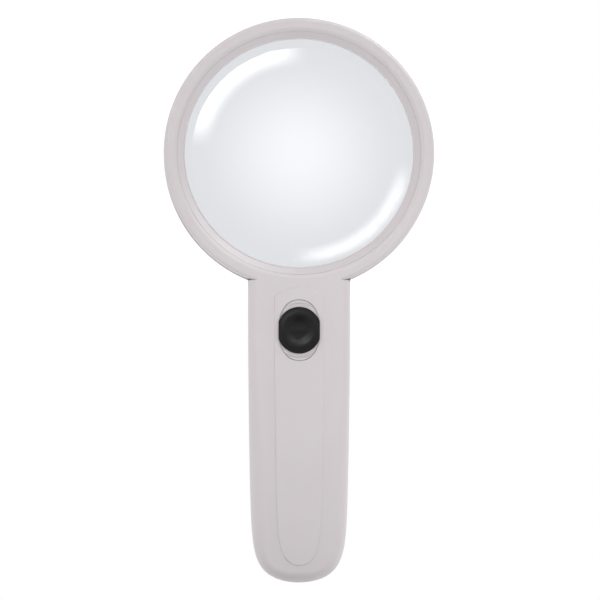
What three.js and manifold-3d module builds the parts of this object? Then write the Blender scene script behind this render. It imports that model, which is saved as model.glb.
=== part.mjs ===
// A low vision magnifier: a large round lens in a ring head, on a battery handle with a thumb switch.
// Millimetres. +Z runs up the handle to the head, -Y is the front that faces the user, X runs across.
// Shapes are laid out by their height above the handle's tip; the last lines move the origin to the grip.

import * as THREE from "three";
import { mergeVertices, toCreasedNormals } from "three/addons/utils/BufferGeometryUtils.js";
import Module from "manifold-3d";

const wasm = await Module();
wasm.setup();

// ---- Driving dimensions -----------------------------------------------------------------------------

const GAP = 0.3; // clearance between pieces that touch
const GRIP_HEIGHT = 55; // the frame's origin, above the handle's tip

// Depths, front to back
const FRONT_Y = -11; // front face of handle and head
const HANDLE_BACK_Y = 12;
const HEAD_BACK_Y = 6;
const SEAM_Y = GAP / 2; // each shell stops this far from the parting plane y = 0
const WALL = 1.8;

// Head
const HEAD_Z = 159.6;
const HEAD_R = 50.3;
const REAR_STEP = 0.4; // the rear shell's rim stands proud of the front shell's
const RIDGE_R = 46.3; // where the front face turns into the bezel's inner cone
const BORE_R = 45.3;
const CHANNEL_R = 48.6; // outside of the hollow that runs round inside the head
const HEAD_EDGE = 1.5;
const HEAD_SIDES = 84;

// Lens, biconvex and rounder in front. These faces give a focal length of about 200 mm.
const LENS_R = 45;
const LENS_FRONT_R = 140; // radius of curvature
const LENS_BACK_R = 331;
const LENS_EDGE = 2;
const LENS_MID_Y = -2.7; // middle of the lens' rim
const LENS_VIEW_R = 42.5; // clear radius inside the retaining ring
const LENS_SIDES = 60;
const SEAT_R = 42.7; // inside of the rear shell's rim, which the lens rests on

// Handle outline
const HANDLE_HALF = 19.01; // half width below the head
const HANDLE_TAPER = 1.71; // how much narrower the sides run at the tip
const TIP_ROUND = 5.8; // how slowly the end opens out
const SHOULDER_Z = 112.3;
const TONGUE_HALF = 17.8; // the handle's width where it runs in under the head
const TONGUE_Z = 114.5;
const HANDLE_EDGE = 3.4;

// Raised centre panel of the handle
const PANEL_HALF = 8.85;
const PANEL_TAPER = 0.9;
const PANEL_ROUND = 5.6;
const PANEL_LOW_Z = 5.65;
const PANEL_TOP_Z = 109.6;
const PANEL_TOP_R = 18;
const PANEL_RISE = 0.45;

// Switch
const SWITCH_Z = 93.7;
const SWITCH_TRAVEL = 2.4; // each way from the middle position
const DISH_HALF_X = 7.65;
const DISH_HALF_Z = 11.35;
const DISH_DEPTH = 1.2;
const KNOB_R = 8.65;
const KNOB_HALF_X = 7.6; // the knob's two sides are cut flat here
const STEM = { x: 1.7, z: 1.9 }; // half sizes

// Battery bay and its sliding door
const CELL_R = 7.25;
const CELL_X = 7.45;
const CELL_Y = 0.4;
const CELL_LOW_Z = 14;
const CELL_BODY = 49.2;
const CELL_BUTTON = { r: 2.75, height: 1.2 };
const DOOR_TOP_Z = 70;
const DOOR_HALF = 14.5;
const DOOR_INNER_Y = 9.6;
const DOOR_TONGUE = { half: 15.4, y0: 9.9, y1: 10.8 };
const BAY_TOP_Z = 67.5;
const BAY_LOW_Z = 10.3;
const BAY_WALL_FRONT_Y = -5;

// Light window: it sits in a slope between the handle's back and the head's back
const SLOPE_LOW_Z = 101.5;
const SLOPE_TOP_Z = 113.3;
const LED_XS = [-7, 0, 7];

// Screws
const SCREW_X = 13.3;
const SCREW_ZS = { upper: 96, lower: 75 };
const SCREW_HOLE_R = 1.6;
const SCREW_SINK_Y = 8.5;

// ---- Colours ----------------------------------------------------------------------------------------

const finish = (color, roughness, metalness = 0, extra = {}) =>
  new THREE.MeshStandardMaterial({ color, roughness, metalness, ...extra });

const SHELL = finish(0xd0cbcc, 0.45);
const BLACK = finish(0x2a2728, 0.4);
const CLEAR = finish(0xe8eef2, 0.05, 0, { transparent: true, opacity: 0.35 });
const INNER = finish(0xe6e6e2, 0.5);
const BOARD = finish(0x2f6b45, 0.55);
const STEEL = finish(0xb9bcc0, 0.3, 1);
const SLEEVE = finish(0x3c5a78, 0.35);
const LED = finish(0xf4f1d8, 0.15);
const RED_WIRE = finish(0xa82222, 0.5);
const BLACK_WIRE = finish(0x1c1c1c, 0.5);
const YELLOW_WIRE = finish(0xd0b030, 0.5);

// ---- Solid helpers ----------------------------------------------------------------------------------

// A closed geometry as a solid that can be joined and cut.
function solid(geometry) {
  const bare = geometry.clone();
  bare.deleteAttribute("normal");
  bare.deleteAttribute("uv");
  const merged = mergeVertices(bare, 1e-4);
  return new wasm.Manifold(
    new wasm.Mesh({
      numProp: 3,
      vertProperties: merged.getAttribute("position").array,
      triVerts: new Uint32Array(merged.index.array),
    }),
  );
}

function box(x0, x1, y0, y1, z0, z1) {
  const geometry = new THREE.BoxGeometry(x1 - x0, y1 - y0, z1 - z0);
  geometry.translate((x0 + x1) / 2, (y0 + y1) / 2, (z0 + z1) / 2);
  return solid(geometry);
}

// A round solid about the Y axis through (x, z). Profile points are [radius, y], anticlockwise.
function turned(profile, x, z, sides) {
  const points = profile.map(([r, y]) => new THREE.Vector2(r, y));
  const geometry = new THREE.LatheGeometry(points, sides);
  geometry.translate(x, 0, z);
  return solid(geometry);
}

function rod(r, y0, y1, x, z, sides = 14) {
  return turned([[0, y0], [r, y0], [r, y1], [0, y1]], x, z, sides);
}

// An outline in the XZ plane, given depth from yFront to yBack, with both of its rims rounded by edge.
function slab(outline, yFront, yBack, edge = 0, bevelSegments = 5) {
  const geometry = new THREE.ExtrudeGeometry(outline, {
    depth: yBack - yFront - 2 * edge,
    curveSegments: 10,
    bevelEnabled: edge > 0,
    bevelThickness: edge,
    bevelSize: edge,
    bevelOffset: -edge,
    bevelSegments,
  });
  geometry.rotateX(Math.PI / 2);
  geometry.translate(0, yBack - edge, 0);
  return solid(geometry);
}

// A round wire along a smooth curve. A full circle is drawn with twice its curveSegments.
function wire(curve, radius, steps, sides) {
  const section = new THREE.Shape();
  section.absarc(0, 0, radius, 0, 2 * Math.PI);
  const geometry = new THREE.ExtrudeGeometry(section, {
    steps,
    curveSegments: sides / 2,
    extrudePath: curve,
  });
  return solid(geometry);
}

const joined = (solids) => solids.reduce((a, b) => a.add(b));
const cut = (body, solids) => solids.reduce((a, b) => a.subtract(b), body);

function mesh(name, body, material) {
  const { vertProperties, triVerts } = body.getMesh();
  const geometry = new THREE.BufferGeometry();
  geometry.setAttribute("position", new THREE.BufferAttribute(new Float32Array(vertProperties), 3));
  geometry.setIndex(new THREE.BufferAttribute(new Uint32Array(triVerts), 1));
  const made = new THREE.Mesh(toCreasedNormals(geometry, 0.6), material);
  made.name = name;
  return made;
}

// ---- Outlines ---------------------------------------------------------------------------------------

const open = (height, round) => Math.sqrt(1 - Math.exp(-Math.max(height, 0) / round));

function handleHalf(z, inset = 0) {
  const side = HANDLE_HALF - HANDLE_TAPER * (1 - Math.min(z / SHOULDER_Z, 1)) ** 2;
  return (side - inset) * open(z - inset, TIP_ROUND);
}

// Heights closer together near the tip, where the outline turns fastest.
function heights(low, high, tipSpan, tipSteps, sideSteps) {
  const tip = Array.from({ length: tipSteps + 1 }, (_, i) => low + tipSpan * (i / tipSteps) ** 2);
  const rest = high - low - tipSpan;
  const side = Array.from({ length: sideSteps }, (_, i) => low + tipSpan + (rest * (i + 1)) / sideSteps);
  return [...tip, ...side];
}

// An outline that is the same on both sides of x = 0, from its right-hand points going up.
function mirrored(right) {
  const left = right.filter(([x]) => x > 0).map(([x, z]) => [-x, z]).reverse();
  return new THREE.Shape([...right, ...left].map(([x, z]) => new THREE.Vector2(x, z)));
}

function handleOutline() {
  const side = heights(0, SHOULDER_Z, 26, 12, 5).map((z) => [handleHalf(z), z]);
  return mirrored([...side, [TONGUE_HALF, SHOULDER_Z], [TONGUE_HALF, TONGUE_Z]]);
}

function handleCavityOutline(inset, top) {
  return mirrored(heights(inset, top, 24, 9, 4).map((z) => [handleHalf(z, inset), z]));
}

function panelOutline() {
  const half = (z) => {
    const side = PANEL_HALF - PANEL_TAPER * (1 - z / PANEL_TOP_Z) ** 2;
    return side * open(z - PANEL_LOW_Z, PANEL_ROUND);
  };
  const archZ = (x) => PANEL_TOP_Z - PANEL_TOP_R + Math.sqrt(PANEL_TOP_R ** 2 - x ** 2);
  const side = heights(PANEL_LOW_Z, archZ(PANEL_HALF), 22, 8, 3).map((z) => [half(z), z]);
  const arch = [6, 3, 0].map((x) => [x, archZ(x)]);
  return mirrored([...side, ...arch]);
}

// ---- Shells -----------------------------------------------------------------------------------------

function headBody(radius, yBack) {
  const corner = (angle) => [
    radius - HEAD_EDGE + HEAD_EDGE * Math.sin(angle),
    FRONT_Y + HEAD_EDGE - HEAD_EDGE * Math.cos(angle),
  ];
  const front = [0, 1, 2, 3, 4].map((i) => corner((i * Math.PI) / 8));
  const back = front.map(([r, y]) => [r, yBack - (y - FRONT_Y)]).reverse();
  return turned([[0, FRONT_Y], ...front, ...back, [0, yBack]], 0, HEAD_Z, HEAD_SIDES);
}

// The handle's back slopes down to the head's back, and the light window sits in that slope.
const slopeAngle = Math.atan2(HANDLE_BACK_Y - HEAD_BACK_Y, SLOPE_TOP_Z - SLOPE_LOW_Z);

function behindSlope() {
  const beyond = HANDLE_BACK_Y + 4;
  const outline = new THREE.Shape();
  outline.moveTo(HANDLE_BACK_Y, SLOPE_LOW_Z);
  outline.lineTo(beyond, SLOPE_LOW_Z);
  outline.lineTo(beyond, SLOPE_TOP_Z + 6);
  outline.lineTo(HEAD_BACK_Y, SLOPE_TOP_Z + 6);
  outline.lineTo(HEAD_BACK_Y, SLOPE_TOP_Z);
  return acrossX(outline, -HANDLE_HALF - 1, HANDLE_HALF + 1);
}

// An outline drawn in (y, z), given width from x0 to x1.
function acrossX(outline, x0, x1) {
  const geometry = new THREE.ExtrudeGeometry(outline, { depth: x1 - x0, bevelEnabled: false });
  geometry.applyMatrix4(new THREE.Matrix4().set(0, 0, 1, x0, 1, 0, 0, 0, 0, 1, 0, 0, 0, 0, 0, 1));
  return solid(geometry);
}

function handleBody() {
  return slab(handleOutline(), FRONT_Y, HANDLE_BACK_Y, HANDLE_EDGE).subtract(behindSlope());
}

function handleCavity() {
  const outline = handleCavityOutline(WALL + 0.1, 112.6);
  const cavity = slab(outline, FRONT_Y + WALL, HANDLE_BACK_Y - WALL, 1.6, 3);
  const shift = new THREE.Vector3(0, -WALL * Math.cos(slopeAngle), -WALL * Math.sin(slopeAngle));
  return cavity.subtract(behindSlope().translate(shift.toArray()));
}

const frontHalf = () => box(-60, 60, FRONT_Y - 2, -SEAM_Y, -5, 220);
const rearHalf = () => box(-60, 60, SEAM_Y, HANDLE_BACK_Y + 2, -5, 220);

function bosses(r, y0, y1) {
  return Object.values(SCREW_ZS).flatMap((z) => [-SCREW_X, SCREW_X].map((x) => rod(r, y0, y1, x, z)));
}

function dish() {
  const lip = FRONT_Y - PANEL_RISE;
  const floor = 0.9;
  const profile = [[0, lip - 1], [1.08, lip - 1], [floor, lip + DISH_DEPTH], [0, lip + DISH_DEPTH]];
  const points = profile.map(([r, y]) => new THREE.Vector2(r, y));
  const geometry = new THREE.LatheGeometry(points, 40);
  geometry.scale(DISH_HALF_X, 1, DISH_HALF_Z);
  geometry.translate(0, 0, SWITCH_Z);
  return solid(geometry);
}

function frontShell() {
  const boreWallR = BORE_R + 1.6;
  const channel = turned(
    [
      [boreWallR, FRONT_Y + WALL], [CHANNEL_R, FRONT_Y + WALL], [CHANNEL_R, 1], [boreWallR, 1],
      [boreWallR, FRONT_Y + WALL],
    ],
    0, HEAD_Z, HEAD_SIDES,
  );
  const bore = turned(
    [
      [0, FRONT_Y - 1], [RIDGE_R + 1, FRONT_Y - 1], [RIDGE_R, FRONT_Y],
      [BORE_R, FRONT_Y + 0.6], [BORE_R, 1], [0, 1],
    ],
    0, HEAD_Z, HEAD_SIDES,
  );
  const panel = slab(panelOutline(), FRONT_Y - PANEL_RISE, FRONT_Y + 1.5);
  const outer = headBody(HEAD_R, HEAD_BACK_Y).add(handleBody()).intersect(frontHalf()).add(panel);
  const boreInR = BORE_R - 0.1;
  const boreWall = turned(
    [
      [boreInR, FRONT_Y + 1], [boreWallR, FRONT_Y + 1], [boreWallR, -SEAM_Y], [boreInR, -SEAM_Y],
      [boreInR, FRONT_Y + 1],
    ],
    0, HEAD_Z, HEAD_SIDES,
  );
  const hollow = cut(outer, [handleCavity(), channel]).add(boreWall);
  const posts = joined(bosses(3.1, FRONT_Y + 1, -SEAM_Y));
  const slot = box(-STEM.x - GAP, STEM.x + GAP, FRONT_Y - 1, FRONT_Y + 3, ...slotSpan());
  return cut(hollow.add(posts), [bore, dish(), slot, ...bosses(SCREW_HOLE_R, -7, 1)]);
}

function slotSpan() {
  const half = STEM.z + SWITCH_TRAVEL + GAP;
  return [SWITCH_Z - half, SWITCH_Z + half];
}

// A wall across the battery bay. It joins the rear shell's sides and reaches, narrower, into the front.
function crossWall(frontHalfX, z0, z1) {
  const back = DOOR_INNER_Y - GAP;
  return [
    box(-frontHalfX, frontHalfX, BAY_WALL_FRONT_Y, back, z0, z1),
    box(-HANDLE_HALF, HANDLE_HALF, SEAM_Y, back, z0, z1).intersect(handleBody()),
  ];
}

function rearShell() {
  const channel = turned(
    [
      [LENS_R, -1], [CHANNEL_R, -1], [CHANNEL_R, HEAD_BACK_Y - WALL], [LENS_R, HEAD_BACK_Y - WALL],
      [LENS_R, -1],
    ],
    0, HEAD_Z, HEAD_SIDES,
  );
  const seat = lensBack(LENS_VIEW_R) + GAP;
  const rimBack = HEAD_BACK_Y - 0.5;
  const rim = turned(
    [[SEAT_R, seat], [LENS_R, seat], [LENS_R, rimBack], [SEAT_R, rimBack], [SEAT_R, seat]],
    0, HEAD_Z, HEAD_SIDES,
  );
  const hole = rod(SEAT_R, -5, HEAD_BACK_Y + 1, 0, HEAD_Z, HEAD_SIDES);
  const outer = headBody(HEAD_R + REAR_STEP, HEAD_BACK_Y).add(handleBody()).intersect(rearHalf());
  const hollow = cut(outer, [handleCavity(), channel]).add(rim);
  const crossWalls = [
    ...crossWall(15.6, BAY_TOP_Z, BAY_TOP_Z + 1.7),
    ...crossWall(12.2, BAY_LOW_Z - 1.7, BAY_LOW_Z),
  ];
  const rails = [-1, 1].map((side) => {
    const xs = [side * (DOOR_HALF + GAP), side * 17.5].sort((a, b) => a - b);
    return box(...xs, 8.2, 11, 6, DOOR_TOP_Z + GAP).intersect(handleBody());
  });
  const boardPosts = [-6, 6].map((x) => rod(1.8, 3.2, HANDLE_BACK_Y - 1, x, 88));
  const screwPosts = bosses(3.9, SEAM_Y, HANDLE_BACK_Y - 1);
  return cut(joined([hollow, ...crossWalls, ...rails, ...boardPosts, ...screwPosts]), [
    hole,
    box(-DOOR_HALF - GAP, DOOR_HALF + GAP, DOOR_INNER_Y - GAP, HANDLE_BACK_Y + 1, -1, DOOR_TOP_Z + GAP),
    box(
      -DOOR_TONGUE.half - GAP, DOOR_TONGUE.half + GAP,
      DOOR_TONGUE.y0 - GAP, DOOR_TONGUE.y1 + GAP, -1, DOOR_TOP_Z + GAP,
    ),
    windowPlate(WINDOW.half + GAP, WINDOW.rise + GAP, -WINDOW.plate - 1, 1),
    windowPlate(WINDOW.half + WINDOW.lip + GAP, WINDOW.rise + WINDOW.lip + GAP, -4, -WINDOW.plate + GAP),
    ...bosses(SCREW_HOLE_R, -1, HANDLE_BACK_Y),
    ...bosses(2.9, SCREW_SINK_Y, HANDLE_BACK_Y + 1),
  ]);
}

function batteryDoor() {
  const { half, y0, y1 } = DOOR_TONGUE;
  const plate = box(-DOOR_HALF, DOOR_HALF, DOOR_INNER_Y, HANDLE_BACK_Y + 1, -1, DOOR_TOP_Z);
  const tongues = box(-half, half, y0, y1, -1, DOOR_TOP_Z);
  const gripGrooves = [0, 1, 2, 3, 4].map((i) => {
    const z = 56 + 1.8 * i;
    return box(-6, 6, HANDLE_BACK_Y - 0.5, HANDLE_BACK_Y + 1, z, z + 0.9);
  });
  return cut(plate.add(tongues).intersect(handleBody()), gripGrooves);
}

// ---- Optics and light -------------------------------------------------------------------------------

const sag = (faceR, r) => faceR - Math.sqrt(faceR ** 2 - r ** 2);
const lensFront = (r) => LENS_MID_Y - LENS_EDGE / 2 - sag(LENS_FRONT_R, LENS_R) + sag(LENS_FRONT_R, r);
const lensBack = (r) => LENS_MID_Y + LENS_EDGE / 2 + sag(LENS_BACK_R, LENS_R) - sag(LENS_BACK_R, r);

function lens() {
  const radii = [0, 12, 24, 35, LENS_R];
  const front = radii.map((r) => [r, lensFront(r)]);
  const back = radii.map((r) => [r, lensBack(r)]).reverse();
  return turned([...front, ...back], 0, HEAD_Z, LENS_SIDES);
}

// The ring in front of the lens: it slopes on inwards from the bezel's cone, and is undercut to the lens.
function lensRetainingRing() {
  const outer = BORE_R - GAP;
  const foot = LENS_VIEW_R + 0.9;
  const profile = [
    [LENS_VIEW_R, FRONT_Y + 2.35],
    [outer, FRONT_Y + 0.75],
    [outer, lensFront(outer) - GAP],
    [foot, lensFront(foot) - GAP],
  ];
  return turned([...profile, profile[0]], 0, HEAD_Z, LENS_SIDES);
}

// The window and what lines up behind it are drawn flat, with +Z as outwards, then turned into the slope.
const WINDOW = { half: 11.5, rise: 3, plate: 1.2, flange: 0.8, lip: 1.2 };
const onSlope = new THREE.Matrix4()
  .makeTranslation(0, (HANDLE_BACK_Y + HEAD_BACK_Y) / 2, (SLOPE_LOW_Z + SLOPE_TOP_Z) / 2)
  .multiply(new THREE.Matrix4().makeRotationX(-Math.PI / 2 + slopeAngle));

function windowPlate(halfX, halfRise, low, high, corner = 1) {
  const outline = new THREE.Shape();
  const x = halfX - corner;
  const y = halfRise - corner;
  outline.absarc(x, y, corner, 0, Math.PI / 2);
  outline.absarc(-x, y, corner, Math.PI / 2, Math.PI);
  outline.absarc(-x, -y, corner, Math.PI, 1.5 * Math.PI);
  outline.absarc(x, -y, corner, 1.5 * Math.PI, 2 * Math.PI);
  const geometry = new THREE.ExtrudeGeometry(outline, {
    depth: high - low,
    curveSegments: 4,
    bevelEnabled: false,
  });
  geometry.translate(0, 0, low);
  geometry.applyMatrix4(onSlope);
  return solid(geometry);
}

function lightWindow() {
  const pane = windowPlate(WINDOW.half, WINDOW.rise, -WINDOW.plate - 0.1, 0);
  const { half, rise, plate, flange, lip } = WINDOW;
  return pane.add(windowPlate(half + lip, rise + lip, -plate - flange, -plate));
}

const LED_TIP = -WINDOW.plate - WINDOW.flange - 0.6;
const LED_LENGTH = 4.6;

function led(x) {
  const base = LED_TIP - LED_LENGTH;
  const dome = [0, 1, 2, 3].map((i) => {
    const angle = (i * Math.PI) / 6;
    return new THREE.Vector2(1.5 * Math.cos(angle), LED_TIP - 1.5 + 1.5 * Math.sin(angle));
  });
  dome[3].x = 0;
  const profile = [[0, base], [1.9, base], [1.9, base + 0.8], [1.5, base + 0.8]];
  const points = [...profile.map(([r, y]) => new THREE.Vector2(r, y)), ...dome];
  const geometry = new THREE.LatheGeometry(points, 20);
  geometry.rotateX(Math.PI / 2);
  geometry.translate(x, 0, 0);
  geometry.applyMatrix4(onSlope);
  return solid(geometry);
}

function ledBoard() {
  const top = LED_TIP - LED_LENGTH - GAP;
  return windowPlate(10, 3, top - 1, top, 0.5);
}

// ---- Switch -----------------------------------------------------------------------------------------

const KNOB_RIM_Y = FRONT_Y - PANEL_RISE - GAP; // underside of the cap
const CARRIAGE_Y = -8.6;

function switchKnob() {
  const top = KNOB_RIM_Y - 1.3;
  const cap = turned(
    [
      [0, top + 0.7], [3, top + 0.6], [5.5, top + 0.3], [7.3, top], [KNOB_R - 0.5, top],
      [KNOB_R, top + 0.5], [KNOB_R, KNOB_RIM_Y], [0, KNOB_RIM_Y],
    ],
    0, SWITCH_Z, 48,
  );
  const rib = slab(
    new THREE.Shape([
      new THREE.Vector2(-5, SWITCH_Z - 0.6), new THREE.Vector2(5, SWITCH_Z - 0.6),
      new THREE.Vector2(5, SWITCH_Z + 0.6), new THREE.Vector2(-5, SWITCH_Z + 0.6),
    ]),
    top + 0.2, KNOB_RIM_Y,
  );
  const sides = box(-KNOB_HALF_X, KNOB_HALF_X, -20, 0, SWITCH_Z - 20, SWITCH_Z + 20);
  const stemZs = [SWITCH_Z - STEM.z, SWITCH_Z + STEM.z];
  const stem = box(-STEM.x, STEM.x, KNOB_RIM_Y - 0.2, CARRIAGE_Y + 0.6, ...stemZs);
  return cap.add(rib).intersect(sides).add(stem);
}

function sliderCarriage() {
  const plate = box(-6, 6, CARRIAGE_Y, CARRIAGE_Y + 1.6, SWITCH_Z - 7, SWITCH_Z + 7);
  const fork = [-1, 1].map((side) => {
    const zs = [SWITCH_Z + side * 1.3, SWITCH_Z + side * 2.8].sort((a, b) => a - b);
    return box(-2.5, 2.5, CARRIAGE_Y + 1, CARRIAGE_Y + 4.2, ...zs);
  });
  const socket = box(
    -STEM.x - GAP, STEM.x + GAP, CARRIAGE_Y - 1, CARRIAGE_Y + 0.9,
    SWITCH_Z - STEM.z - GAP, SWITCH_Z + STEM.z + GAP,
  );
  return joined([plate, ...fork]).subtract(socket);
}

const SWITCH_BODY = { x: 4.2, y0: -2.6, y1: 1.4, z: 6 };

function switchBody() {
  const shell = box(
    -SWITCH_BODY.x, SWITCH_BODY.x, SWITCH_BODY.y0, SWITCH_BODY.y1,
    SWITCH_Z - SWITCH_BODY.z, SWITCH_Z + SWITCH_BODY.z,
  );
  const half = 1 + SWITCH_TRAVEL + GAP;
  const slot = box(
    -1.6, 1.6, SWITCH_BODY.y0 - 1, SWITCH_BODY.y0 + 1.6, SWITCH_Z - half, SWITCH_Z + half,
  );
  return shell.subtract(slot);
}

function switchLever() {
  return box(-1.3, 1.3, CARRIAGE_Y + 1.9, SWITCH_BODY.y0 + 1.2, SWITCH_Z - 1, SWITCH_Z + 1);
}

function switchBoard() {
  return box(-7.2, 7.2, 1.7, 2.9, 85.5, 100);
}

// ---- Battery bay ------------------------------------------------------------------------------------

// A cell along Z whose button points up, or down when flipped.
function cell(x, flipped) {
  const rim = 0.5;
  const profile = [
    [0, 0], [CELL_R - rim, 0], [CELL_R, rim], [CELL_R, CELL_BODY - rim], [CELL_R - rim, CELL_BODY],
    [CELL_BUTTON.r, CELL_BODY], [CELL_BUTTON.r, CELL_BODY + CELL_BUTTON.height],
    [0, CELL_BODY + CELL_BUTTON.height],
  ];
  const geometry = new THREE.LatheGeometry(profile.map(([r, y]) => new THREE.Vector2(r, y)), 36);
  geometry.rotateX(flipped ? -Math.PI / 2 : Math.PI / 2);
  const lift = flipped ? CELL_BODY + CELL_BUTTON.height : 0;
  geometry.translate(x, CELL_Y, CELL_LOW_Z + lift);
  return solid(geometry);
}

// A conical spring along Z, wide at its foot.
class SpringCurve extends THREE.Curve {
  constructor(x, z0, z1) {
    super();
    Object.assign(this, { x, z0, z1 });
  }
  getPoint(t, target = new THREE.Vector3()) {
    const angle = t * 2.5 * 2 * Math.PI;
    const r = THREE.MathUtils.lerp(4, 2.4, t);
    const z = THREE.MathUtils.lerp(this.z0, this.z1, t);
    return target.set(this.x + r * Math.cos(angle), CELL_Y + r * Math.sin(angle), z);
  }
}

const SPRING_WIRE_R = 0.3;
const CELL_HIGH_Z = CELL_LOW_Z + CELL_BODY + CELL_BUTTON.height;

function spring(x, footZ, tipZ) {
  return wire(new SpringCurve(x, footZ, tipZ), SPRING_WIRE_R, 36, 6);
}

// A low cone that meets a cell's button.
function pip(x, z0, z1) {
  const up = z1 > z0;
  const height = Math.abs(z1 - z0);
  const points = [[0, 0], [2.6, 0], [1.8, height], [0, height]].map(([r, y]) => new THREE.Vector2(r, y));
  const geometry = new THREE.LatheGeometry(points, 20);
  geometry.rotateX(up ? Math.PI / 2 : -Math.PI / 2);
  geometry.translate(x, CELL_Y, z0);
  return solid(geometry);
}

const TOP_PLATE = { z0: BAY_TOP_Z - 0.7, z1: BAY_TOP_Z - GAP };
const TAB_TOP_Z = 73;

function topContact(x) {
  const front = BAY_WALL_FRONT_Y - 1.4;
  const plate = box(x - 5, x + 5, front, 6, TOP_PLATE.z0, TOP_PLATE.z1);
  const tab = box(x - 2.5, x + 2.5, front, front + 0.4, TOP_PLATE.z0, TAB_TOP_Z);
  return plate.add(tab);
}

const contactPositive = () =>
  topContact(-CELL_X).add(pip(-CELL_X, TOP_PLATE.z0 + 0.2, CELL_HIGH_Z + GAP));

const contactNegative = () =>
  topContact(CELL_X).add(spring(CELL_X, TOP_PLATE.z0 + 0.1, CELL_HIGH_Z + GAP + SPRING_WIRE_R));

function bridgeContact() {
  const z0 = BAY_LOW_Z + GAP;
  const plate = box(-12.5, 12.5, -4, 5, z0, z0 + 0.4);
  const left = spring(-CELL_X, z0 + 0.3, CELL_LOW_Z - GAP - SPRING_WIRE_R);
  return joined([plate, left, pip(CELL_X, z0 + 0.2, CELL_LOW_Z - GAP)]);
}

// ---- Fasteners and wires ----------------------------------------------------------------------------

function screw(x, z) {
  const seat = SCREW_SINK_Y + GAP;
  const body = turned(
    [
      [0, -6.5], [0.7, -6.5], [1.3, -5.5], [1.3, seat],
      [2.5, seat], [2.5, seat + 1], [1.9, seat + 1.6], [0, seat + 1.6],
    ],
    x, z, 14,
  );
  const cross = [
    box(x - 1.3, x + 1.3, seat + 0.8, seat + 3, z - 0.25, z + 0.25),
    box(x - 0.25, x + 0.25, seat + 0.8, seat + 3, z - 1.3, z + 1.3),
  ];
  return cut(body, cross);
}

function lead(points) {
  const path = points.map((p) => new THREE.Vector3(...p));
  return wire(new THREE.CatmullRomCurve3(path, false, "catmullrom", 0.5), 0.6, 26, 8);
}

const LEADS = {
  wire_positive: {
    material: RED_WIRE,
    points: [
      [-7.4, -6.2, TAB_TOP_Z + GAP], [-7.2, -5.8, 76], [-6, -1.5, 80.5],
      [-5.6, 1.6, 83], [-5.5, 2.3, 85.2],
    ],
  },
  wire_negative: {
    material: BLACK_WIRE,
    points: [
      [7.4, -6.2, TAB_TOP_Z + GAP], [7.8, -5.6, 77], [8.5, -3.6, 84],
      [8.4, -2.6, 92], [8.4, 1.8, 97.5], [8.2, 4, 100.2],
    ],
  },
  wire_switch: {
    material: YELLOW_WIRE,
    points: [
      [-5.5, 3.8, 96], [-6.5, 5.2, 94.5], [-8.2, 6.4, 96.5],
      [-8.2, 5.2, 98.8], [-8, 4, 100.2],
    ],
  },
};

// ---- Assembly ---------------------------------------------------------------------------------------

const magnifier = new THREE.Group();
magnifier.add(
  mesh("front_shell", frontShell(), SHELL),
  mesh("rear_shell", rearShell(), SHELL),
  mesh("battery_door", batteryDoor(), SHELL),
  mesh("lens", lens(), CLEAR),
  mesh("lens_retaining_ring", lensRetainingRing(), SHELL),
  mesh("light_window", lightWindow(), CLEAR),
  mesh("led_board", ledBoard(), BOARD),
  mesh("switch_knob", switchKnob(), BLACK),
  mesh("slider_carriage", sliderCarriage(), INNER),
  mesh("slide_switch_body", switchBody(), STEEL),
  mesh("slide_switch_lever", switchLever(), BLACK),
  mesh("switch_board", switchBoard(), BOARD),
  mesh("battery_cell_left", cell(-CELL_X, false), SLEEVE),
  mesh("battery_cell_right", cell(CELL_X, true), SLEEVE),
  mesh("contact_positive", contactPositive(), STEEL),
  mesh("contact_negative", contactNegative(), STEEL),
  mesh("bridge_contact", bridgeContact(), STEEL),
);

["left", "centre", "right"].forEach((side, i) => {
  magnifier.add(mesh(`led_${side}`, led(LED_XS[i]), LED));
});

for (const [level, z] of Object.entries(SCREW_ZS)) {
  magnifier.add(mesh(`screw_${level}_left`, screw(-SCREW_X, z), STEEL));
  magnifier.add(mesh(`screw_${level}_right`, screw(SCREW_X, z), STEEL));
}

for (const [name, { material, points }] of Object.entries(LEADS)) {
  magnifier.add(mesh(name, lead(points), material));
}

magnifier.position.z = -GRIP_HEIGHT;

const part = new THREE.Group();
part.add(magnifier);

export default part;
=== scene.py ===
"""The looks of an illuminated hand magnifier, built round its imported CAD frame.

Shapes are laid out in millimetres: x to the right, y to the back, h as height above the handle's tip.
The front of the magnifier faces -Y.
"""

import math

import bmesh
import bpy
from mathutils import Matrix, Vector


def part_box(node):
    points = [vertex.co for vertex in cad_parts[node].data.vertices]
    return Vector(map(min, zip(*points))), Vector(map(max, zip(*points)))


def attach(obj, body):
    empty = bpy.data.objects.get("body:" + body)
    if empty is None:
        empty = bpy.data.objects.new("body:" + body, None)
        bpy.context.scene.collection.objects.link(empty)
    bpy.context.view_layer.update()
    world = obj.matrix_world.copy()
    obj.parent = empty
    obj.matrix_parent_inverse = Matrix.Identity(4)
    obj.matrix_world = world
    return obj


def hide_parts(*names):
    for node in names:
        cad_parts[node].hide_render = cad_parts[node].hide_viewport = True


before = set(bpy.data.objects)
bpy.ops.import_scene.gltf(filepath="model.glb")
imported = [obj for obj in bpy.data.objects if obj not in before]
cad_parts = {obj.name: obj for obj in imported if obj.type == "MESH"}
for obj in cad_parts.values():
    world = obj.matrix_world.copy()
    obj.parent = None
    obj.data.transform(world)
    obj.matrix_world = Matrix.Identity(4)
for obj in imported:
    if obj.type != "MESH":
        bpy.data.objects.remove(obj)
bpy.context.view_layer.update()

MM = 0.001

# ---- Dimensions read from the frame, in millimetres ----

TIP_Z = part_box("rear_shell")[0].z


def box_mm(node):
    """Lowest and highest corner of a CAD node as (x, y, h)."""
    return [Vector((c.x, c.y, c.z - TIP_Z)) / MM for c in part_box(node)]


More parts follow.
